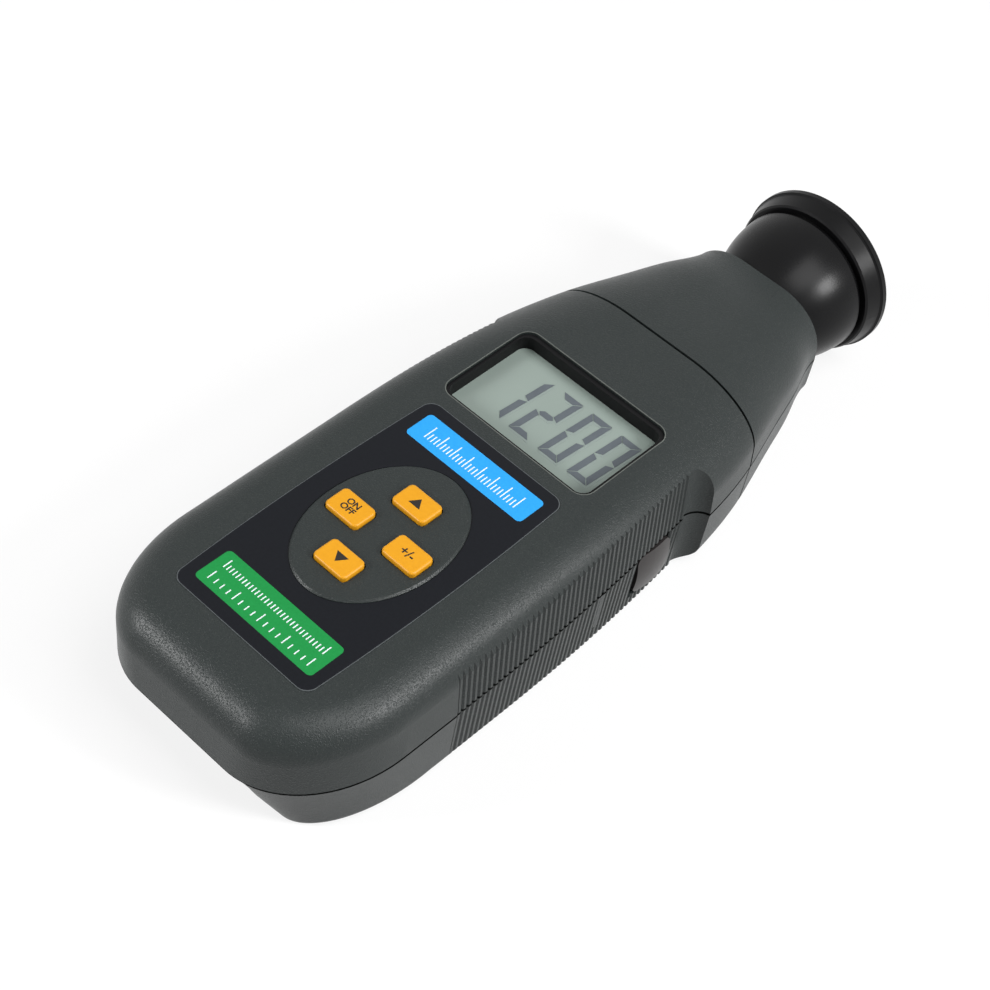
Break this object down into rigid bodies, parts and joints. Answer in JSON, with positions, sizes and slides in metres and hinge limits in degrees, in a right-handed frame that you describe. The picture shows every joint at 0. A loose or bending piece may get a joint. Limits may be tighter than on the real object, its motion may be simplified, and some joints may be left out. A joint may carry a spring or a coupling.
{
  "type": "xenon stroboscope",
  "caption": "Hand-held xenon stroboscope: ribbed two-shell body with display, orange keys and side button, tapering nose and a black flared lamp head.",
  "frame": {"origin": "under the middle of the object, at the level of the lens ring's lowest point", "axes": "+X to the right when the key face is read, +Y along the body from the butt to the lamp, +Z out of the key face"},
  "size_m": [0.074, 0.218, 0.0445],
  "materials": {
    "housing": "dark grey moulded plastic with a fine sparkle grain",
    "screw_steel": "black zinc",
    "bell_black": "satin black",
    "ring_black": "gloss black",
    "lamp_glass": "clear, polished",
    "reflector_chrome": "bright",
    "tube_glass": "clear, polished",
    "contact_nickel": "nickel plated",
    "holder_white": "matt white",
    "label_film": "satin film, black with a blue and a green field",
    "key_orange": "orange moulded plastic",
    "mat_rubber": "silicone rubber",
    "board_green": "solder resist",
    "bezel_black": "black moulded plastic",
    "lcd_grey": "grey-green display",
    "button_brown": "dark brownish rubber",
    "cell_wrap": "plain printed sleeve",
    "capacitor_sleeve": "shrink sleeve",
    "transformer_tape": "yellow tape on a ferrite core"
  },
  "bodies": {
    "housing": {"upper_shell": "housing", "lower_shell": "housing", "nose_upper": "housing", "nose_lower": "housing", "case_screws": "screw_steel", "board_screws": "screw_steel", "lamp_bell": "bell_black", "lens_ring": "ring_black", "lamp_window": "lamp_glass", "reflector": "reflector_chrome", "xenon_tube": "tube_glass", "tube_electrodes": "contact_nickel", "trigger_wire": "contact_nickel", "tube_holder": "holder_white", "label_panel": "label_film", "keypad_mat": "mat_rubber", "main_board": "board_green", "lcd_bezel": "bezel_black", "lcd_glass": "lcd_grey", "side_board": "board_green", "side_switch": "bezel_black", "battery_tray": "bezel_black", "battery_contacts": "contact_nickel", "battery_cell_1": "cell_wrap", "battery_cell_2": "cell_wrap", "battery_cell_3": "cell_wrap", "battery_cell_4": "cell_wrap", "flash_capacitor": "capacitor_sleeve", "trigger_transformer": "transformer_tape"},
    "key_on_off_body": {"key_on_off": "key_orange"},
    "key_up_body": {"key_up": "key_orange"},
    "key_down_body": {"key_down": "key_orange"},
    "key_fine_body": {"key_fine": "key_orange"},
    "side_button_body": {"side_button": "button_brown"},
    "battery_door_body": {"battery_door": "housing"}
  },
  "joints": [
    {"name": "key_on_off_press", "type": "slide", "parent": "housing", "child": "key_on_off_body", "axis": [0, 0, -1], "range_m": [0, 0.0007], "stiffness_N_per_m": 1200, "springref_m": -0.0004},
    {"name": "key_up_press", "type": "slide", "parent": "housing", "child": "key_up_body", "axis": [0, 0, -1], "range_m": [0, 0.0007], "stiffness_N_per_m": 1200, "springref_m": -0.0004},
    {"name": "key_down_press", "type": "slide", "parent": "housing", "child": "key_down_body", "axis": [0, 0, -1], "range_m": [0, 0.0007], "stiffness_N_per_m": 1200, "springref_m": -0.0004},
    {"name": "key_fine_press", "type": "slide", "parent": "housing", "child": "key_fine_body", "axis": [0, 0, -1], "range_m": [0, 0.0007], "stiffness_N_per_m": 1200, "springref_m": -0.0004},
    {"name": "side_button_press", "type": "slide", "parent": "housing", "child": "side_button_body", "axis": [-1, 0, 0], "range_m": [0, 0.001], "stiffness_N_per_m": 1000, "springref_m": -0.0005},
    {"name": "battery_door_slide", "type": "slide", "parent": "housing", "child": "battery_door_body", "axis": [0, -1, 0], "range_m": [0, 0.11]}
  ]
}
